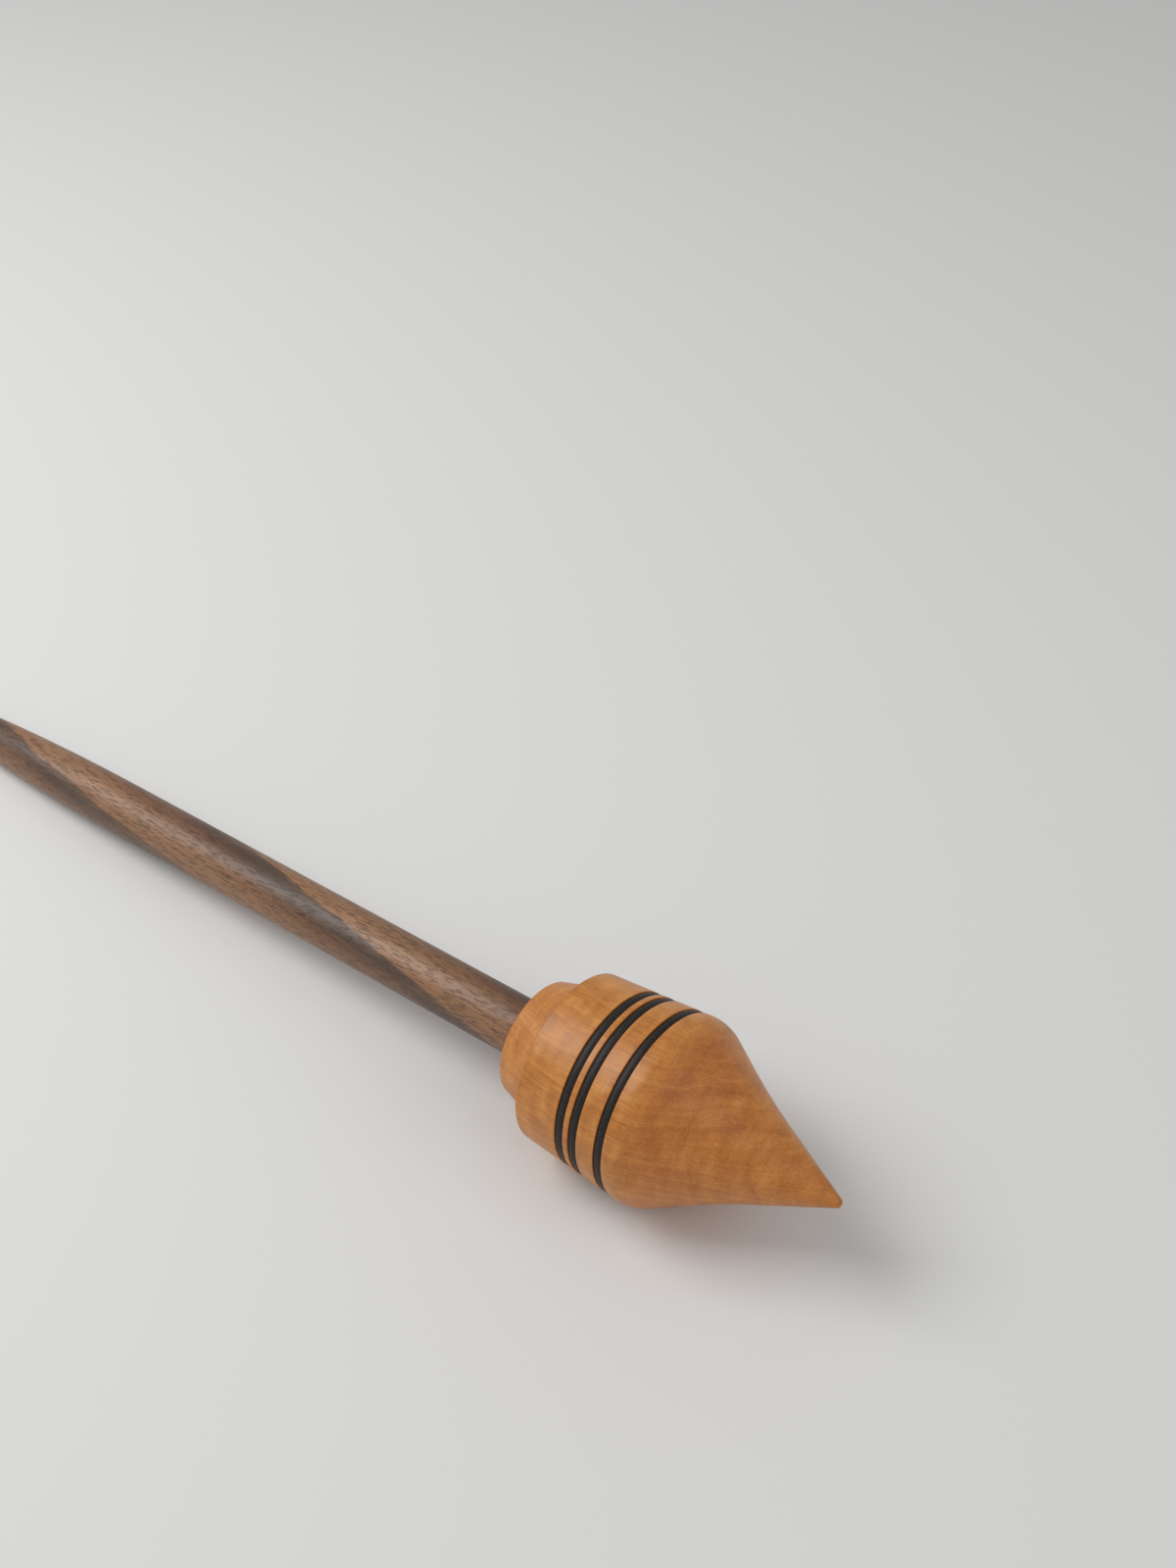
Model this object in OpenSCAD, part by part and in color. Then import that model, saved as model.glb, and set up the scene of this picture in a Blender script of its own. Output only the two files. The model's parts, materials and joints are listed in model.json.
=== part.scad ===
// Support spindle for hand spinning: a turned whorl with a long point, and a slim shaft glued into it.
// The spindle lies on a flat surface at z = 0, on its shoulder and on the taper of its shaft.
// Its point looks towards +X. Lengths along its axis are measured from the point.

/* [Point and cone] */
// Radius of the rounded point
point_round = 1.2; // [0.6:0.1:1.8]
// Distance from the point to where the cone starts to open wider
flare_at = 23.5; // [18:0.5:27]
// Thickness of the cone at that place
flare_d = 23.7; // [20:0.1:26]
// Radius of the hollow curve at that place
flare_round = 140; // [60:5:150]

/* [Body of the whorl] */
// Distance from the point to the shoulder
shoulder_at = 38.5; // [36:0.5:44]
// Diameter at the shoulder, before the shoulder is rounded
shoulder_d = 42.2; // [39:0.2:46]
// Radius of the rounded shoulder
shoulder_round = 9; // [4:0.5:9]
// Length from the shoulder to the back edge of the body
body_len = 27.3; // [26:0.1:36]
// Diameter at the back edge of the body
back_d = 38.2; // [36:0.2:42]
// Rounding of the back edge
back_round = 0.5; // [0.2:0.1:1]

/* [Collar of the whorl] */
// Length of the collar behind the body
collar_len = 9.4; // [6:0.1:14]
// Diameter of the collar where it grows out of the body
collar_root_d = 31.6; // [27:0.2:34]
// Diameter of the collar at its free end
collar_d = 25.8; // [19:0.2:27]
// Rounding in the corner between the body and the collar
collar_cove = 1.2; // [0.4:0.1:2]
// Rounding at the free end of the collar
collar_round = 0.8; // [0.3:0.1:1.5]

/* [Black rings] */
// Width of each ring
ring_w = 2.1; // [1.4:0.1:2.4]
// Depth of each groove below the surface of the body
groove_depth = 1.5; // [1:0.1:2.5]
// Height of the domed top of each ring
ring_crown = 0.35; // [0.1:0.05:0.5]
// Depth of the top of each ring below the surface of the body
ring_recess = 0.1; // [0:0.05:0.3]
// Clearance between a ring and each wall of its groove
ring_clear = 0.05; // [0.02:0.01:0.1]
// Distance from the shoulder to the middle of the front ring
front_ring_at = 5.05; // [4.5:0.05:7]
// Distance from the middle of the front ring to the middle of the middle ring
middle_ring_step = 6.7; // [4:0.1:7.5]
// Distance from the middle of the middle ring to the middle of the rear ring
rear_ring_step = 3.55; // [3.2:0.05:5]

/* [Shaft] */
// Diameter of the parallel part of the shaft
shaft_d = 13; // [11:0.1:15]
// Length of the parallel part of the shaft, from the collar to the start of the taper
parallel_len = 130; // [90:1:180]
// Length of the taper towards the upper end
taper_len = 95; // [60:1:130]
// Fullness of the taper: 1 is a straight taper, more keeps the shaft thick for longer
taper_fullness = 2.2; // [1.4:0.1:3]
// Thickness of the rounded upper end
end_d = 3.6; // [2.4:0.1:6]

/* [Glued joint] */
// Diameter of the tenon at the lower end of the shaft
tenon_d = 9; // [6:0.1:10]
// Length of the tenon
tenon_len = 24; // [16:0.5:28]
// Chamfer round the end of the tenon
tenon_chamfer = 0.6; // [0.2:0.1:1]
// Clearance for glue round the tenon
glue_clear = 0.05; // [0.02:0.01:0.1]
// Space for glue and air below the tenon
socket_spare = 1; // [0.4:0.1:3]

/* [Hidden] */

$fn = 120;
// Most that a straight step of a rounded corner may cut off the true arc
arc_tolerance = 0.004;
point_steps = 8;
taper_steps = 28;
end_steps = 6;
dome_steps = 8;

back_at = shoulder_at + body_len;
collar_end_at = back_at + collar_len;
taper_at = collar_end_at + parallel_len;
shaft_end_at = taper_at + taper_len;
front_ring_place = shoulder_at + front_ring_at;
middle_ring_place = front_ring_place + middle_ring_step;
rear_ring_place = middle_ring_place + rear_ring_step;

// An outline is a list of points, each one a radius and a distance along the axis.

// Rounds the corner b of the path a, b, c: a list of points along the arc.
// The arc uses at most 0.45 of each neighbouring side.
function rounded_corner(a, b, c, radius) =
    let(
        to_a = (a - b) / norm(a - b),
        to_c = (c - b) / norm(c - b),
        half_angle = acos(to_a * to_c) / 2,
        side = min(radius / tan(half_angle), 0.45 * norm(a - b), 0.45 * norm(c - b)),
        middle = b + (to_a + to_c) / norm(to_a + to_c) * side / cos(half_angle),
        from_middle = b + to_a * side - middle,
        start = atan2(from_middle[1], from_middle[0]),
        turn = 180 - 2 * half_angle,
        way = sign(to_a[1] * to_c[0] - to_a[0] * to_c[1]),
        steps = ceil(turn / (2 * acos(1 - arc_tolerance / radius)))
    )
    [for (i = [0:steps]) middle + norm(from_middle) * direction(start + way * turn * i / steps)];

function direction(angle) = [cos(angle), sin(angle)];

// The rounded point, up to where the straight cone leaves it towards the flare.
cone_start_angle = atan2(flare_d / 2, flare_at - point_round)
    - asin(point_round / norm([flare_d / 2, flare_at - point_round]));
point_arc = [for (i = [0:point_steps])
    let(angle = (90 - cone_start_angle) * i / point_steps)
    point_round * [sin(angle), 1 - cos(angle)]];

// Corners of the whorl from the flare to the free end of the collar, and the rounding of each.
whorl_corners = [
    [flare_d / 2, flare_at],
    [shoulder_d / 2, shoulder_at],
    [back_d / 2, back_at],
    [collar_root_d / 2, back_at],
    [collar_d / 2, collar_end_at],
];
whorl_rounding = [flare_round, shoulder_round, back_round, collar_cove, collar_round];
collar_middle = [0, collar_end_at];
whorl_path = concat([point_arc[point_steps]], whorl_corners, [collar_middle]);
whorl_outline = concat(
    point_arc,
    [for (i = [0:4])
        each rounded_corner(whorl_path[i], whorl_path[i + 1], whorl_path[i + 2], whorl_rounding[i])],
    [collar_middle]
);

// The shaft above the collar: parallel, then a full taper, then a round end.
function taper_r(along) = end_d / 2 + (shaft_d - end_d) / 2 * (1 - pow(along, taper_fullness));
shaft_outline = concat(
    [[shaft_d / 2, collar_end_at]],
    [for (i = [0:taper_steps])
        let(along = i / taper_steps)
        [taper_r(along), taper_at + (taper_len - end_d / 2) * along]],
    [for (i = [1:end_steps]) [0, shaft_end_at - end_d / 2] + end_d / 2 * direction(90 * i / end_steps)]
);
tenon_end_at = collar_end_at - tenon_len;
tenon_outline = [
    [0, tenon_end_at],
    [tenon_d / 2 - tenon_chamfer, tenon_end_at],
    [tenon_d / 2, tenon_end_at + tenon_chamfer],
    [tenon_d / 2, collar_end_at],
];

// Radius of the straight part of the body at a place along the axis.
function body_r(place) = shoulder_d / 2 + (back_d - shoulder_d) / 2 * (place - shoulder_at) / body_len;
function groove_floor_r(place) = body_r(place) - groove_depth;

// Resting pose. The floor line touches the round shoulder and the fullest point of the taper.
// For every point of the shaft, the line through it that touches the shoulder has its own slope,
// and the floor takes the smallest of these slopes.
shoulder_arc = rounded_corner(whorl_path[1], whorl_path[2], whorl_path[3], shoulder_round);
function slope_between(low, high) = atan2(low[0] - high[0], high[1] - low[1]);
function slope_to(point) = max([for (low = shoulder_arc) slope_between(low, point)]);
rest_tilt = min([for (point = shaft_outline) if (point[1] > taper_at) slope_to(point)]);
all_points = concat(whorl_outline, shaft_outline);
rest_z = max([for (point = all_points) point[1] * sin(rest_tilt) + point[0] * cos(rest_tilt)]);
front_x = max([for (point = all_points) point[0] * sin(rest_tilt) - point[1] * cos(rest_tilt)]);
rear_x = min([for (point = all_points) -point[0] * sin(rest_tilt) - point[1] * cos(rest_tilt)]);
rest_x = -(front_x + rear_x) / 2;

// Lays a piece that was turned round the z axis down into the resting pose.
module at_rest() {
    translate([rest_x, 0, rest_z]) rotate([0, -90 - rest_tilt, 0]) children();
}

module shaft() {
    color("saddlebrown") at_rest() rotate_extrude() polygon(concat(tenon_outline, shaft_outline));
}

module whorl() {
    color("burlywood") at_rest() rotate_extrude() difference() {
        polygon(whorl_outline);
        socket_section();
        for (place = [front_ring_place, middle_ring_place, rear_ring_place]) groove_section(place);
    }
}

module socket_section() {
    socket_depth = tenon_len + socket_spare;
    translate([0, collar_end_at - socket_depth]) square([tenon_d / 2 + glue_clear, socket_depth + 1]);
}

module groove_section(place) {
    groove_w = ring_w + 2 * ring_clear;
    translate([groove_floor_r(place), place - groove_w / 2]) square([groove_depth + 5, groove_w]);
}

// A ring with a flat seat and a domed top, sunk a little below the surface of the body.
module inlay_ring(place) {
    seat_r = groove_floor_r(place) + ring_clear;
    edge_r = body_r(place) - ring_recess - ring_crown;
    dome = [for (i = [0:dome_steps])
        let(across = 2 * i / dome_steps - 1)
        [edge_r + ring_crown * (1 - across * across), place + ring_w / 2 * across]];
    seat = [[seat_r, place + ring_w / 2], [seat_r, place - ring_w / 2]];
    color("dimgray") at_rest() rotate_extrude() polygon(concat(dome, seat));
}

module front_inlay_ring() {
    inlay_ring(front_ring_place);
}

module middle_inlay_ring() {
    inlay_ring(middle_ring_place);
}

module rear_inlay_ring() {
    inlay_ring(rear_ring_place);
}

shaft();
whorl();
front_inlay_ring();
middle_inlay_ring();
rear_inlay_ring();
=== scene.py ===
# Looks of a support spindle for hand spinning: turned wood and black rings on a plain pale floor.
import json
import math

import bmesh
import bpy
import numpy as np
from mathutils import Matrix, Vector


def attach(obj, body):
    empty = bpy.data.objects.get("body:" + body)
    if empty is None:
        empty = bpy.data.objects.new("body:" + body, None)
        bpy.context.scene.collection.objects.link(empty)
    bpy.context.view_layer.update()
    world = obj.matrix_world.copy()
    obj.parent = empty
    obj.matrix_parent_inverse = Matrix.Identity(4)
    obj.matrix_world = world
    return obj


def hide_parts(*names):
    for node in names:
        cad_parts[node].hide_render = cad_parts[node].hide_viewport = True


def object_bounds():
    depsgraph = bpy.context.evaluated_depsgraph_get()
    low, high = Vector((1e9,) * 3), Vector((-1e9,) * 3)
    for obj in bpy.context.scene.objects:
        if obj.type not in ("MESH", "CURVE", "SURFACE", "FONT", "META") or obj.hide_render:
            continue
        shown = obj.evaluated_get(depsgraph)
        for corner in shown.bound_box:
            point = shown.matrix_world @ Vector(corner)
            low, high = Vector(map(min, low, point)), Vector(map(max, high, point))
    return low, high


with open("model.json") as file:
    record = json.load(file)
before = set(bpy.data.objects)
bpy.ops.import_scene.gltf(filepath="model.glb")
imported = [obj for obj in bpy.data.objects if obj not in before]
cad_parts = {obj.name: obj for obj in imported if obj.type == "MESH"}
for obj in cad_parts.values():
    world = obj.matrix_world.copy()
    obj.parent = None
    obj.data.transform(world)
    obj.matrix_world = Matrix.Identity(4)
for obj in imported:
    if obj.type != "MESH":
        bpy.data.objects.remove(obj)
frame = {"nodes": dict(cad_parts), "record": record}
cad_low, cad_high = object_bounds()

MM = 0.001
MOUNTS = {mount["name"]: mount for mount in frame["record"]["mounts"]}
POINT = Vector(MOUNTS["pivot_tip"]["pos_m"])
UP_SHAFT = Vector(MOUNTS["parallel_shaft"]["axis"]).normalized()
SHAFT_R_MM = MOUNTS["parallel_shaft"]["dims"]["r_mm"]

# Camera: the photograph is 1200 x 1600 pixels, and shows the spindle's point at this pixel.
PHOTO_W_PX = 1200
PHOTO_H_PX = 1600
FOCAL_PX = 1900
POINT_PX = (858.8, 1229.6)
POINT_DEPTH = 0.3572
LOOK_HEADING = math.radians(127.86)
LOOK_DOWN = math.radians(42.43)
SENSOR_MM = 36

# Turned pieces
WHORL_SEGMENTS = 224
SHAFT_SEGMENTS = 128
CIRCLE_GAP_MM = 0.005
CORNER_ANGLE = math.radians(25)
SHARP_ANGLE = math.radians(40)
EASED_CORNER_MM = 0.12
EASED_CORNER_STEPS = 4
EASED_SIDE_SHARE = 0.4
OUTLINE_STEP_MM = 0.7
OUTLINE_TURN = math.radians(2.5)
FINEST_STEP_MM = 0.05
LONG_SIDE_RATIO = 2.5
# How far the painted shade in the hollow corners of the turned outline reaches.
PAINTED_SHADE_REACH_MM = 0.35
HOLLOW_TURN = math.radians(8)

# Lamps and floor, in metres. A level is the brightness that a white surface facing the lamp gets from it.
KEY_LEVEL = 0.62
KEY_DISTANCE = 0.9
KEY_SIZE = 0.55
FILL_LEVEL = 0.16
FILL_DISTANCE = 1.2
FILL_SIZE = 0.9
SKY_LEVEL = 0.38
PALE_BACKGROUND = (0.80, 0.80, 0.79)
FLOOR_RADIUS = 4.0
FLOOR_SEGMENTS = 128


def rgb(red, green, blue):
    """A display colour, 0 to 255, as the linear colour that a shader takes."""
    shares = [value / 255 for value in (red, green, blue)]
    linear = [s / 12.92 if s < 0.04045 else ((s + 0.055) / 1.055) ** 2.4 for s in shares]
    return (*linear, 1.0)


# Where things are


def camera_axes():
    """The camera's right, down and forward directions."""
    level = Vector((math.cos(LOOK_HEADING), math.sin(LOOK_HEADING), 0))
    forward = level * math.cos(LOOK_DOWN) - Vector((0, 0, math.sin(LOOK_DOWN)))
    right = Vector((level.y, -level.x, 0))
    return right, forward.cross(right), forward


def camera_place():
    """Where the camera stands, so that the spindle's point lies at its pixel."""
    right, down, forward = camera_axes()
    across = (POINT_PX[0] - PHOTO_W_PX / 2) / FOCAL_PX * POINT_DEPTH
    below = (POINT_PX[1] - PHOTO_H_PX / 2) / FOCAL_PX * POINT_DEPTH
    return POINT - right * across - down * below - forward * POINT_DEPTH


def spindle_frame():
    """The spindle's own frame: origin at the point, z up the shaft.

    Its x looks towards the camera's side, and its y towards the upper side of the picture.
    """
    to_camera = camera_place() - POINT
    facing = (to_camera - UP_SHAFT * to_camera.dot(UP_SHAFT)).normalized()
    place = Matrix((facing, UP_SHAFT.cross(facing), UP_SHAFT)).transposed().to_4x4()
    place.translation = POINT
    return place


SPINDLE = spindle_frame()
SPINDLE_AXES = [SPINDLE.col[index].to_3d() for index in range(3)]


# Outlines of the turned pieces, as lists of (radius, distance from the point) in millimetres


def circles_of(node):
    """The circles that a CAD node's vertices lie on, and the pairs of circles that its edges join."""
    mesh = frame["nodes"][node].data
    to_spindle = SPINDLE.inverted()
    places = np.array([to_spindle @ vertex.co for vertex in mesh.vertices]) / MM
    profile = np.column_stack([np.hypot(places[:, 0], places[:, 1]), places[:, 2]])
    owner = np.full(len(profile), -1)
    circles = []
    while (owner < 0).any():
        first = profile[np.argmax(owner < 0)]
        same = (owner < 0) & (np.abs(profile - first).max(axis=1) < CIRCLE_GAP_MM)
        owner[same] = len(circles)
        circles.append(profile[same].mean(axis=0))
    pairs = {tuple(sorted((owner[a], owner[b]))) for a, b in (edge.vertices for edge in mesh.edges)}
    return circles, [pair for pair in pairs if pair[0] != pair[1]]


def outline_of(node):
    """The outline that a CAD node was turned from, and whether it is a closed loop."""
    circles, pairs = circles_of(node)
    beside = {index: [] for index in range(len(circles))}
    for a, b in pairs:
        beside[a].append(b)
        beside[b].append(a)
    ends = [index for index in beside if len(beside[index]) == 1]
    here = min(ends, key=lambda index: circles[index][1]) if ends else 0
    order = [here]
    while len(order) < len(circles):
        here = next(index for index in beside[here] if index not in order)
        order.append(here)
    outline = [Vector(circles[index]) for index in order]
    if ends:
        outline = [Vector((0, outline[0].y)), *outline, Vector((0, outline[-1].y))]
        outline = without_repeats(outline)
    return outline, not ends


def without_repeats(outline):
    """The outline without points that lie on the one before."""
    kept = outline[:1]
    for point in outline[1:]:
        if (point - kept[-1]).length > CIRCLE_GAP_MM:
            kept.append(point)
    return kept


def turn_at(before, point, after):
    """How far an outline turns at a point, in radians."""
    return (point - before).angle(after - point)


def with_eased_corners(outline, closed):
    """The outline with each sharp corner rounded a little, as sanding leaves it."""
    eased = []
    count = len(outline)
    for index, point in enumerate(outline):
        before = outline[index - 1]
        after = outline[(index + 1) % count]
        end = not closed and index in (0, count - 1)
        if end or turn_at(before, point, after) < CORNER_ANGLE:
            eased.append(point)
            continue
        eased.extend(small_round(before, point, after))
    return eased


def small_round(before, point, after):
    """Points of a small arc that replaces a corner."""
    back = (before - point).normalized()
    ahead = (after - point).normalized()
    half = back.angle(ahead) / 2
    shorter = min((before - point).length, (after - point).length)
    side = min(EASED_CORNER_MM / math.tan(half), EASED_SIDE_SHARE * shorter)
    radius = side * math.tan(half)
    middle = point + (back + ahead).normalized() * side / math.cos(half)
    start = (point + back * side - middle) / radius
    finish = (point + ahead * side - middle) / radius
    turn = start.angle(finish)
    shares = [step / EASED_CORNER_STEPS for step in range(EASED_CORNER_STEPS + 1)]
    return [
        middle + radius * (math.sin(turn * (1 - t)) * start + math.sin(turn * t) * finish) / math.sin(turn)
        for t in shares
    ]


def tangents(outline, closed):
    """For each point of an outline the directions in which the smooth line arrives and leaves."""
    count = len(outline)
    sides = [(outline[(index + 1) % count] - outline[index]) for index in range(count)]
    found = []
    for index in range(count):
        coming, going = sides[index - 1], sides[index]
        if not closed and index == 0:
            coming = going
        if not closed and index == count - 1:
            going = coming
        if coming.angle(going) > CORNER_ANGLE:
            found.append((coming.normalized(), going.normalized()))
            continue
        longer, shorter = sorted((coming, going), key=lambda side: -side.length)
        if longer.length > LONG_SIDE_RATIO * shorter.length:
            along = longer.normalized()
        else:
            along = (coming.normalized() * going.length + going.normalized() * coming.length).normalized()
        found.append((along, along))
    return found


def smooth_line(outline, closed):
    """A fine, smooth line through an outline's points, sharp only where the outline has a corner."""
    directions = tangents(outline, closed)
    count = len(outline)
    line = []
    for index in range(count if closed else count - 1):
        start, finish = outline[index], outline[(index + 1) % count]
        length = (finish - start).length
        leave, arrive = directions[index][1] * length, directions[(index + 1) % count][0] * length
        turn_steps = min(leave.angle(arrive) / OUTLINE_TURN, length / FINEST_STEP_MM)
        steps = math.ceil(max(length / OUTLINE_STEP_MM, turn_steps))
        line.extend(curve_point(start, leave, arrive, finish, step / steps) for step in range(steps))
    return line if closed else [*line, outline[-1]]


def curve_point(start, leave, arrive, finish, t):
    """A point of the cubic curve between two points with given directions."""
    far = t * t * (3 - 2 * t)
    return start * (1 - far) + leave * t * (1 - t) ** 2 - arrive * t * t * (1 - t) + finish * far


def painted_shade_of(line, outline):
    """How much painted shade each point of a line gets: most in the hollow corners of its outline, where
    shade falls.
    """
    hollows = [
        point
        for before, point, after in zip(outline, outline[1:], outline[2:])
        if turn_at(before, point, after) > HOLLOW_TURN and (point - before).cross(after - point) < 0
    ]
    if not hollows:
        return [0.0 for _ in line]
    nearest = [min((point - hollow).length for hollow in hollows) for point in line]
    return [math.exp(-((distance / PAINTED_SHADE_REACH_MM) ** 2)) for distance in nearest]


# Meshes


def turned_piece(node, segments):
    """A fine mesh turned from the outline of a CAD node, which it replaces."""
    outline, closed = outline_of(node)
    line = smooth_line(with_eased_corners(outline, closed), closed)
    mesh = bpy.data.meshes.new(node + "_finished")
    grid = bmesh.new()
    # Painted shade: each vertex holds how much painted shade it gets near the outline's hollow corners.
    painted_shade = grid.verts.layers.float.new("painted_shade")
    rings = []
    for (radius, distance), amount in zip(line, painted_shade_of(line, outline)):
        corners = segments if radius > CIRCLE_GAP_MM else 1
        turns = [2 * math.pi * index / corners for index in range(corners)]
        ring = [
            grid.verts.new(Vector((radius * math.cos(a), radius * math.sin(a), distance)) * MM) for a in turns
        ]
        for vertex in ring:
            vertex[painted_shade] = amount
        rings.append(ring)
    pairs = list(zip(rings, rings[1:])) + ([(rings[-1], rings[0])] if closed else [])
    for low, high in pairs:
        join_rings(grid, low, high, segments)
    bmesh.ops.recalc_face_normals(grid, faces=grid.faces)
    grid.to_mesh(mesh)
    grid.free()
    mesh.transform(SPINDLE)
    mesh.shade_smooth()
    mesh.set_sharp_from_angle(angle=SHARP_ANGLE)
    piece = bpy.data.objects.new(node + "_finished", mesh)
    bpy.context.scene.collection.objects.link(piece)
    return piece


def join_rings(grid, low, high, segments):
    """Faces between two rings of vertices, of which one may be a single vertex on the axis."""
    for index in range(segments):
        after = (index + 1) % segments
        low_side = [low[index % len(low)], low[after % len(low)]]
        high_side = [high[after % len(high)], high[index % len(high)]]
        face = list(dict.fromkeys(low_side + high_side))
        if len(face) > 2:
            grid.faces.new(face)


def finish_piece(node, segments, material):
    """Turns a piece, gives it its material and puts it in the place of its CAD node."""
    piece = turned_piece(node, segments)
    piece.data.materials.append(material)
    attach(piece, "root")
    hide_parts(node)
    return piece


# Materials


class Nodes:
    """One material's nodes. Each method adds a node and returns its output."""

    def __init__(self, name):
        self.material = bpy.data.materials.new(name)
        self.material.use_nodes = True
        self.tree = self.material.node_tree
        self.tree.nodes.clear()

    def add(self, kind, inputs, **settings):
        node = self.tree.nodes.new("ShaderNode" + kind)
        for key, value in settings.items():
            setattr(node, key, value)
        for key, value in inputs.items():
            if isinstance(value, bpy.types.NodeSocket):
                self.tree.links.new(value, node.inputs[key])
            else:
                node.inputs[key].default_value = value
        return node

    def calc(self, operation, a, b=0.0, c=0.0):
        return self.add("Math", {0: a, 1: b, 2: c}, operation=operation).outputs[0]

    def plus(self, a, b):
        return self.calc("ADD", a, b)

    def times(self, a, b):
        return self.calc("MULTIPLY", a, b)

    def fit(self, value, low, high, to_low=0.0, to_high=1.0):
        inputs = {"Value": value, "From Min": low, "From Max": high, "To Min": to_low, "To Max": to_high}
        return self.add("MapRange", inputs, interpolation_type="SMOOTHSTEP").outputs[0]

    def vector(self, x, y, z):
        return self.add("CombineXYZ", {0: x, 1: y, 2: z}).outputs[0]

    def scaled(self, vector, factors):
        return self.add("VectorMath", {0: vector, 1: factors}, operation="MULTIPLY").outputs[0]

    def dot(self, vector, direction):
        return self.add("VectorMath", {0: vector, 1: direction}, operation="DOT_PRODUCT").outputs["Value"]

    def noise(self, vector, detail=2.0, roughness=0.5):
        inputs = {"Vector": vector, "Scale": 1.0, "Detail": detail, "Roughness": roughness}
        return self.add("TexNoise", inputs).outputs[0]

    def mix(self, factor, a, b, blend="MIX"):
        inputs = {0: factor, 6: a, 7: b}
        return self.add("Mix", inputs, data_type="RGBA", blend_type=blend).outputs[2]

    def ramp(self, value, stops):
        node = self.add("ValToRGB", {0: value})
        elements = node.color_ramp.elements
        while len(elements) < len(stops):
            elements.new(1.0)
        for element, (place, colour) in zip(elements, stops):
            element.position = place
            element.color = colour
        return node.outputs[0]

    def place_mm(self):
        """The place on the piece in the spindle's own frame, in millimetres, and its x, y and z."""
        there = self.add("TexCoord", {}).outputs["Object"]
        from_point = self.add("VectorMath", {0: there, 1: POINT}, operation="SUBTRACT").outputs[0]
        x, y, z = [self.dot(from_point, axis / MM) for axis in SPINDLE_AXES]
        return self.vector(x, y, z), x, y, z

    def end_grain(self):
        """How squarely the surface cuts the fibres: 0 along the spindle's axis, 1 across it."""
        return self.calc("ABSOLUTE", self.dot(self.add("TexCoord", {}).outputs["Normal"], UP_SHAFT))

    def dashes(self, around, along, width, length, reach, share):
        """Short dashes along the grain, in a share of the cells of this width and length.

        The longest dash reaches this share of a cell to each side of its middle.
        """
        cell = self.vector(self.times(around, 1 / width), self.times(along, 1 / length), 0.0)
        node = self.add("TexVoronoi", {"Vector": cell, "Scale": 1.0}, voronoi_dimensions="2D")
        chance = self.add("SeparateColor", {0: node.outputs["Color"]}).outputs[0]
        size = self.fit(chance, 1 - share, 1.0, 0.45 * reach, reach)
        size = self.times(size, self.calc("GREATER_THAN", chance, 1 - share))
        return self.fit(self.calc("SUBTRACT", size, node.outputs["Distance"]), 0.0, 0.08)

    def surface(self, colour, roughness, height, depth_mm, **sockets):
        """The shader, with a bump of this depth, and the material."""
        bump = self.add("Bump", {"Height": height, "Distance": depth_mm * MM, "Strength": 1.0})
        inputs = {"Base Color": colour, "Roughness": roughness, "Normal": bump.outputs[0]}
        shader = self.add("BsdfPrincipled", {**inputs, **sockets})
        output = self.add("OutputMaterial", {0: shader.outputs[0]})
        output.is_active_output = True
        return self.material


def maple():
    """Honey-coloured maple, oiled: fine fibres, long growth lines and a soft figure across the grain."""
    n = Nodes("oiled_maple")
    place, x, y, z = n.place_mm()
    growth_x = 0.6
    growth_y = 0.8
    growth_gap_mm = 2.7
    fleck_radius_mm = 20.0
    bend = n.noise(n.scaled(place, (0.05, 0.05, 0.02)), detail=1.0)
    across = n.plus(n.times(y, growth_y), n.times(x, growth_x))
    across = n.plus(across, n.plus(n.times(z, 0.035), n.times(bend, 9.0)))
    along_ring = n.calc("SUBTRACT", n.times(x, growth_y), n.times(y, growth_x))
    sheets = n.noise(n.vector(n.times(across, 1.1), n.times(along_ring, 0.05), n.times(z, 0.015)), detail=3.0)
    late_wood = n.calc("POWER", n.calc("FRACT", n.times(across, 1 / growth_gap_mm)), 5.0)
    fibres = n.noise(n.scaled(place, (3.2, 3.2, 0.11)), detail=3.0, roughness=0.6)
    figure = n.noise(n.scaled(place, (0.16, 0.16, 0.42)), detail=2.5, roughness=0.55)
    cloud = n.noise(n.scaled(place, (0.07, 0.07, 0.03)), detail=2.0)
    tone = n.plus(n.times(fibres, 0.34), n.plus(n.times(figure, 0.34), n.times(cloud, 0.26)))
    tone = n.calc("SUBTRACT", n.plus(tone, n.times(sheets, 0.20)), n.times(late_wood, 0.06))
    colour = n.ramp(
        tone,
        [(0.34, rgb(156, 91, 38)), (0.52, rgb(192, 122, 54)), (0.68, rgb(218, 150, 78))],
    )
    cut_across = n.fit(n.end_grain(), 0.12, 0.85)
    colour = n.mix(n.times(cut_across, 0.6), colour, rgb(236, 190, 150), "MULTIPLY")
    around = n.times(n.calc("ARCTAN2", y, x), fleck_radius_mm)
    flecks = n.dashes(around, z, 0.7, 5.5, 0.22, 0.5)
    colour = n.mix(n.times(flecks, 0.25), colour, rgb(124, 62, 26))
    # Painted shade: darker brown in the hollow corners of the outline, where shade falls.
    painted_shade = n.add("Attribute", {}, attribute_name="painted_shade").outputs["Fac"]
    colour = n.mix(n.times(painted_shade, 0.88), colour, rgb(58, 28, 12))
    roughness = n.fit(n.plus(n.times(fibres, 0.5), n.times(figure, 0.5)), 0.3, 0.7, 0.38, 0.48)
    turning = n.noise(n.vector(0.0, 0.0, n.times(z, 5.0)), detail=2.0)
    height = n.plus(n.times(fibres, 0.7), n.times(turning, 0.3))
    height = n.calc("SUBTRACT", height, n.times(flecks, 0.3))
    polish = {"Specular IOR Level": 0.42, "Coat Weight": 0.06, "Coat Roughness": 0.28}
    return n.surface(colour, roughness, height, 0.012, **polish)


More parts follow.
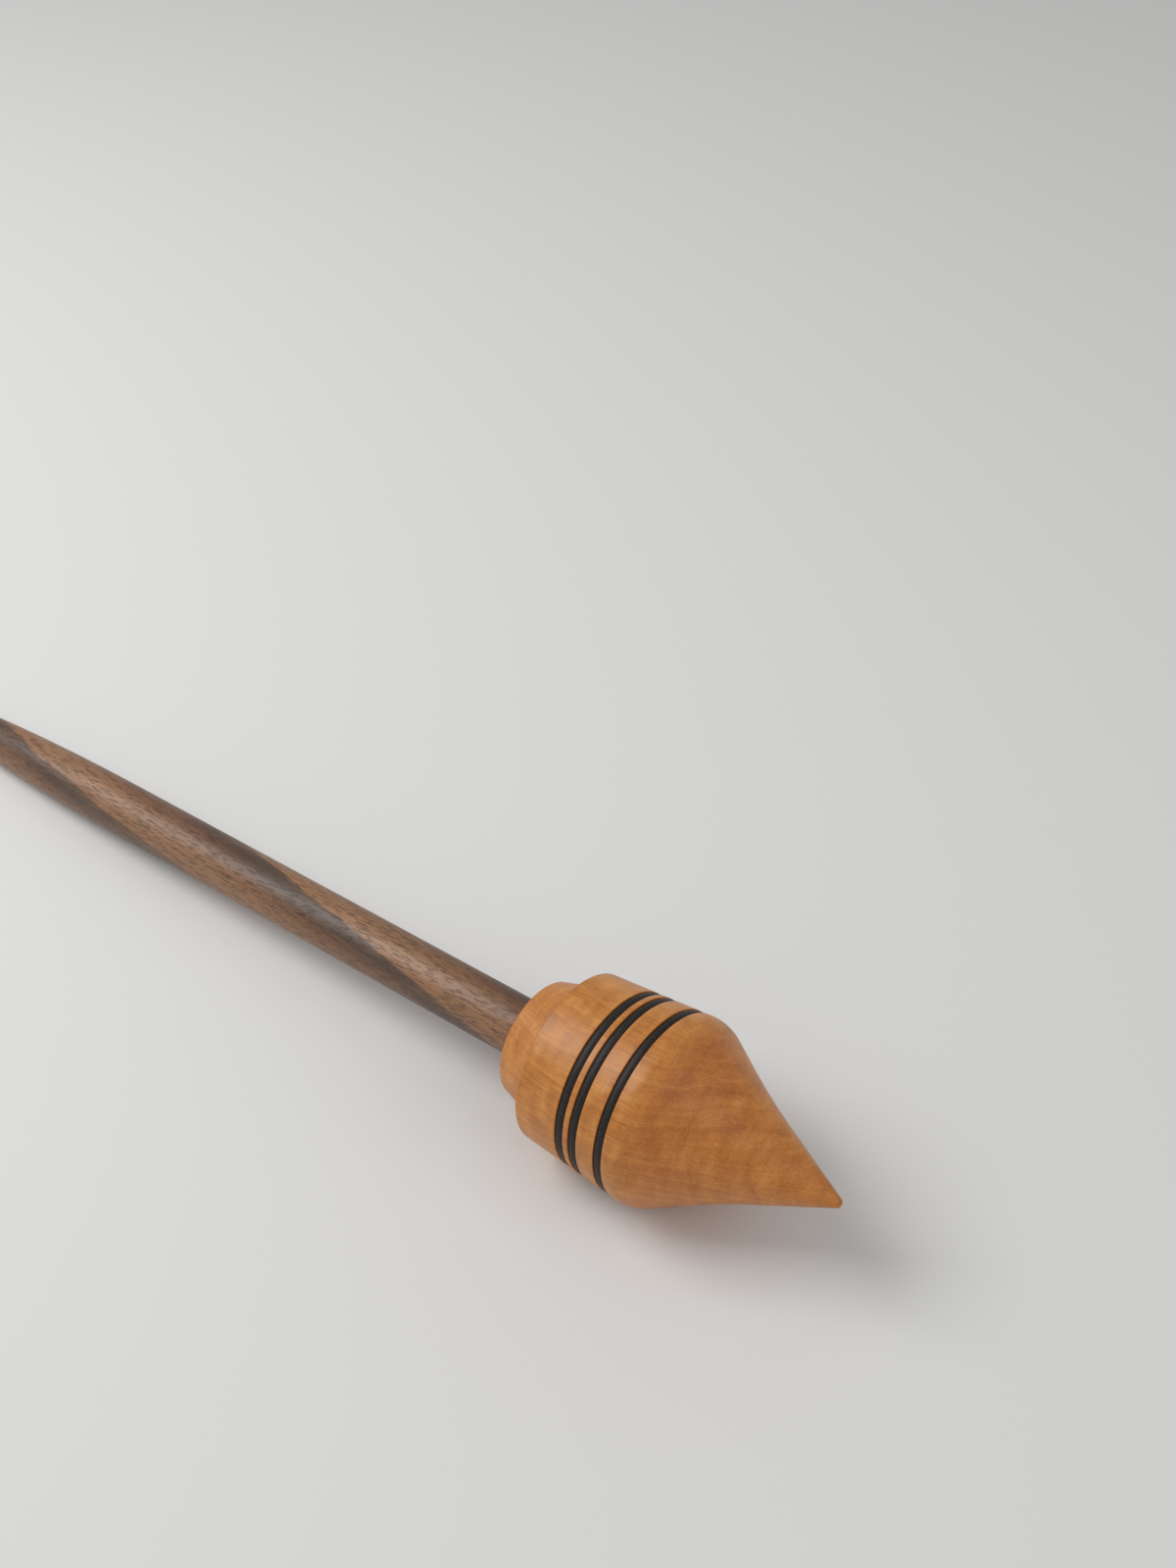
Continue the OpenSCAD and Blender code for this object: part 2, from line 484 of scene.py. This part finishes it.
def walnut():
    """Oiled walnut: brown with broad grey streaks that cross the shaft, and dark open pores.

    The photograph shows the middle of one streak at streak_seen_mm from the spindle's point.
    """
    n = Nodes("oiled_walnut")
    place, x, y, z = n.place_mm()
    slant = math.tan(math.radians(8))
    grain_slant = math.tan(math.radians(2.5))
    streak_gap_mm = 14.1
    streak_seen_mm = 135.7
    darkest_share = 0.14
    streak_at = streak_seen_mm * slant - darkest_share * streak_gap_mm
    drift_mm = 3.4
    fray_mm = 1.3
    line_gap_mm = 1.7
    next_layer_mm = 31.7
    drift = n.noise(n.scaled(place, (0.16, 0.16, 0.02)), detail=1.0)
    fray = n.noise(n.scaled(place, (1.1, 1.1, 0.05)), detail=3.0)
    across = n.calc("SUBTRACT", n.times(z, slant), y)
    across = n.plus(across, n.plus(n.times(drift, drift_mm), n.times(fray, fray_mm)))
    across = n.plus(across, -0.5 * (drift_mm + fray_mm) - streak_at)
    streak = n.calc("FRACT", n.times(across, 1 / streak_gap_mm))
    colour = n.ramp(
        streak,
        [
            (0.00, rgb(164, 122, 88)),
            (0.03, rgb(104, 84, 70)),
            (0.16, rgb(90, 71, 57)),
            (0.32, rgb(122, 86, 62)),
            (0.52, rgb(150, 110, 78)),
            (0.80, rgb(174, 132, 96)),
            (0.97, rgb(168, 124, 88)),
        ],
    )
    patches = n.fit(n.noise(n.scaled(place, (0.12, 0.12, 0.03)), detail=1.0), 0.42, 0.62)
    colour = n.mix(n.times(patches, 0.45), colour, rgb(150, 110, 80))
    lines = n.calc("FRACT", n.times(n.plus(across, n.times(fray, 1.2)), 1 / line_gap_mm))
    colour = n.mix(n.times(n.calc("POWER", lines, 4.0), 0.35), colour, rgb(100, 62, 42))
    fibres = n.noise(n.scaled(place, (4.2, 4.2, 0.09)), detail=3.0, roughness=0.65)
    shade = n.ramp(fibres, [(0.3, rgb(186, 176, 168)), (0.55, rgb(236, 232, 228)), (0.7, rgb(255, 255, 255))])
    colour = n.mix(0.8, colour, shade, "MULTIPLY")
    around = n.plus(n.times(n.calc("ARCTAN2", y, x), SHAFT_R_MM), n.times(z, grain_slant))
    around = n.plus(around, n.times(n.noise(n.scaled(place, (0.2, 0.2, 0.06)), detail=1.0), 1.5))
    long_pores = n.dashes(around, z, 0.50, 7.0, 0.30, 0.85)
    short_pores = n.dashes(n.plus(around, next_layer_mm), z, 0.40, 4.2, 0.28, 0.7)
    pores = n.calc("MAXIMUM", long_pores, short_pores)
    colour = n.mix(n.times(pores, 0.62), colour, rgb(62, 43, 32))
    colour = n.mix(n.times(n.fit(n.end_grain(), 0.3, 0.95), 0.6), colour, rgb(60, 40, 27))
    roughness = n.fit(fibres, 0.3, 0.7, 0.42, 0.52)
    height = n.calc("SUBTRACT", n.times(fibres, 0.3), pores)
    return n.surface(colour, roughness, height, 0.05, **{"Coat Weight": 0.1, "Coat Roughness": 0.3})


def black_ring():
    """Dull black ring with faint lines that run round it."""
    n = Nodes("satin_black_ring")
    place, x, y, z = n.place_mm()
    around = n.calc("ARCTAN2", y, x)
    lines = n.noise(n.vector(n.times(around, 3.0), n.times(z, 7.0), 0.0), detail=3.0, roughness=0.6)
    grain = n.noise(n.scaled(place, (1.6, 1.6, 1.6)), detail=3.0, roughness=0.7)
    tone = n.plus(n.times(lines, 0.5), n.times(grain, 0.5))
    colour = n.ramp(tone, [(0.38, rgb(18, 15, 14)), (0.62, rgb(46, 41, 37))])
    roughness = n.fit(tone, 0.35, 0.65, 0.46, 0.60)
    return n.surface(colour, roughness, tone, 0.03, **{"Specular IOR Level": 0.34})


def floor_surface():
    """Plain pale floor."""
    n = Nodes("pale_floor")
    shader = n.add("BsdfPrincipled", {"Base Color": (*PALE_BACKGROUND, 1.0), "Roughness": 0.9})
    shader.inputs["Specular IOR Level"].default_value = 0.2
    n.add("OutputMaterial", {0: shader.outputs[0]})
    return n.material


# Studio


def add_camera():
    """The camera at the photograph's angle and distance."""
    right, down, forward = camera_axes()
    data = bpy.data.cameras.new("photo_camera")
    data.sensor_width = SENSOR_MM
    data.lens = FOCAL_PX / max(PHOTO_W_PX, PHOTO_H_PX) * SENSOR_MM
    camera = bpy.data.objects.new("photo_camera", data)
    camera.matrix_world = Matrix((right, -down, -forward)).transposed().to_4x4()
    camera.location = camera_place()
    bpy.context.scene.collection.objects.link(camera)
    bpy.context.scene.camera = camera


def add_floor():
    """A plain floor at the height that the spindle lies on."""
    mesh = bpy.data.meshes.new("floor")
    grid = bmesh.new()
    bmesh.ops.create_circle(grid, cap_ends=True, radius=FLOOR_RADIUS, segments=FLOOR_SEGMENTS)
    grid.to_mesh(mesh)
    grid.free()
    floor = bpy.data.objects.new("floor", mesh)
    floor.data.materials.append(floor_surface())
    bpy.context.scene.collection.objects.link(floor)


def add_lamp(name, direction, distance, size, level):
    """A soft square lamp in this direction from the spindle's middle."""
    data = bpy.data.lights.new(name, "AREA")
    data.shape = "SQUARE"
    data.size = size
    data.energy = level * math.pi**2 * distance**2
    lamp = bpy.data.objects.new(name, data)
    away = Vector(direction).normalized()
    lamp.rotation_euler = away.to_track_quat("Z", "Y").to_euler()
    lamp.location = (cad_low + cad_high) / 2 + away * distance
    bpy.context.scene.collection.objects.link(lamp)


def add_lamps():
    """A large soft key lamp from the picture's upper left, and a weak fill lamp from its right."""
    right, _, forward = camera_axes()
    level = Vector((forward.x, forward.y, 0)).normalized()
    up = Vector((0, 0, 1))
    towards_key = -0.62 * right + 0.75 * up + 0.12 * level
    towards_fill = 0.7 * right + 0.6 * up - 0.5 * level
    add_lamp("key", towards_key, KEY_DISTANCE, KEY_SIZE, KEY_LEVEL)
    add_lamp("fill", towards_fill, FILL_DISTANCE, FILL_SIZE, FILL_LEVEL)


def add_sky():
    """Even light from all round, which reflections also show, with a pale background for the camera."""
    world = bpy.data.worlds.new("studio")
    world.use_nodes = True
    tree = world.node_tree
    tree.nodes.clear()
    rays = tree.nodes.new("ShaderNodeLightPath")
    light = tree.nodes.new("ShaderNodeBackground")
    light.inputs["Color"].default_value = (1, 1, 1, 1)
    light.inputs["Strength"].default_value = SKY_LEVEL
    backdrop = tree.nodes.new("ShaderNodeBackground")
    backdrop.inputs["Color"].default_value = (*PALE_BACKGROUND, 1)
    backdrop.inputs["Strength"].default_value = 1.0
    choice = tree.nodes.new("ShaderNodeMixShader")
    output = tree.nodes.new("ShaderNodeOutputWorld")
    tree.links.new(rays.outputs["Is Camera Ray"], choice.inputs[0])
    tree.links.new(light.outputs[0], choice.inputs[1])
    tree.links.new(backdrop.outputs[0], choice.inputs[2])
    tree.links.new(choice.outputs[0], output.inputs["Surface"])
    bpy.context.scene.world = world


add_camera()
add_floor()
add_lamps()
add_sky()
bpy.context.scene.view_settings.view_transform = "Standard"

finish_piece("whorl", WHORL_SEGMENTS, maple())
finish_piece("shaft", SHAFT_SEGMENTS, walnut())
ring_material = black_ring()
for ring in ("front_inlay_ring", "middle_inlay_ring", "rear_inlay_ring"):
    finish_piece(ring, WHORL_SEGMENTS, ring_material)
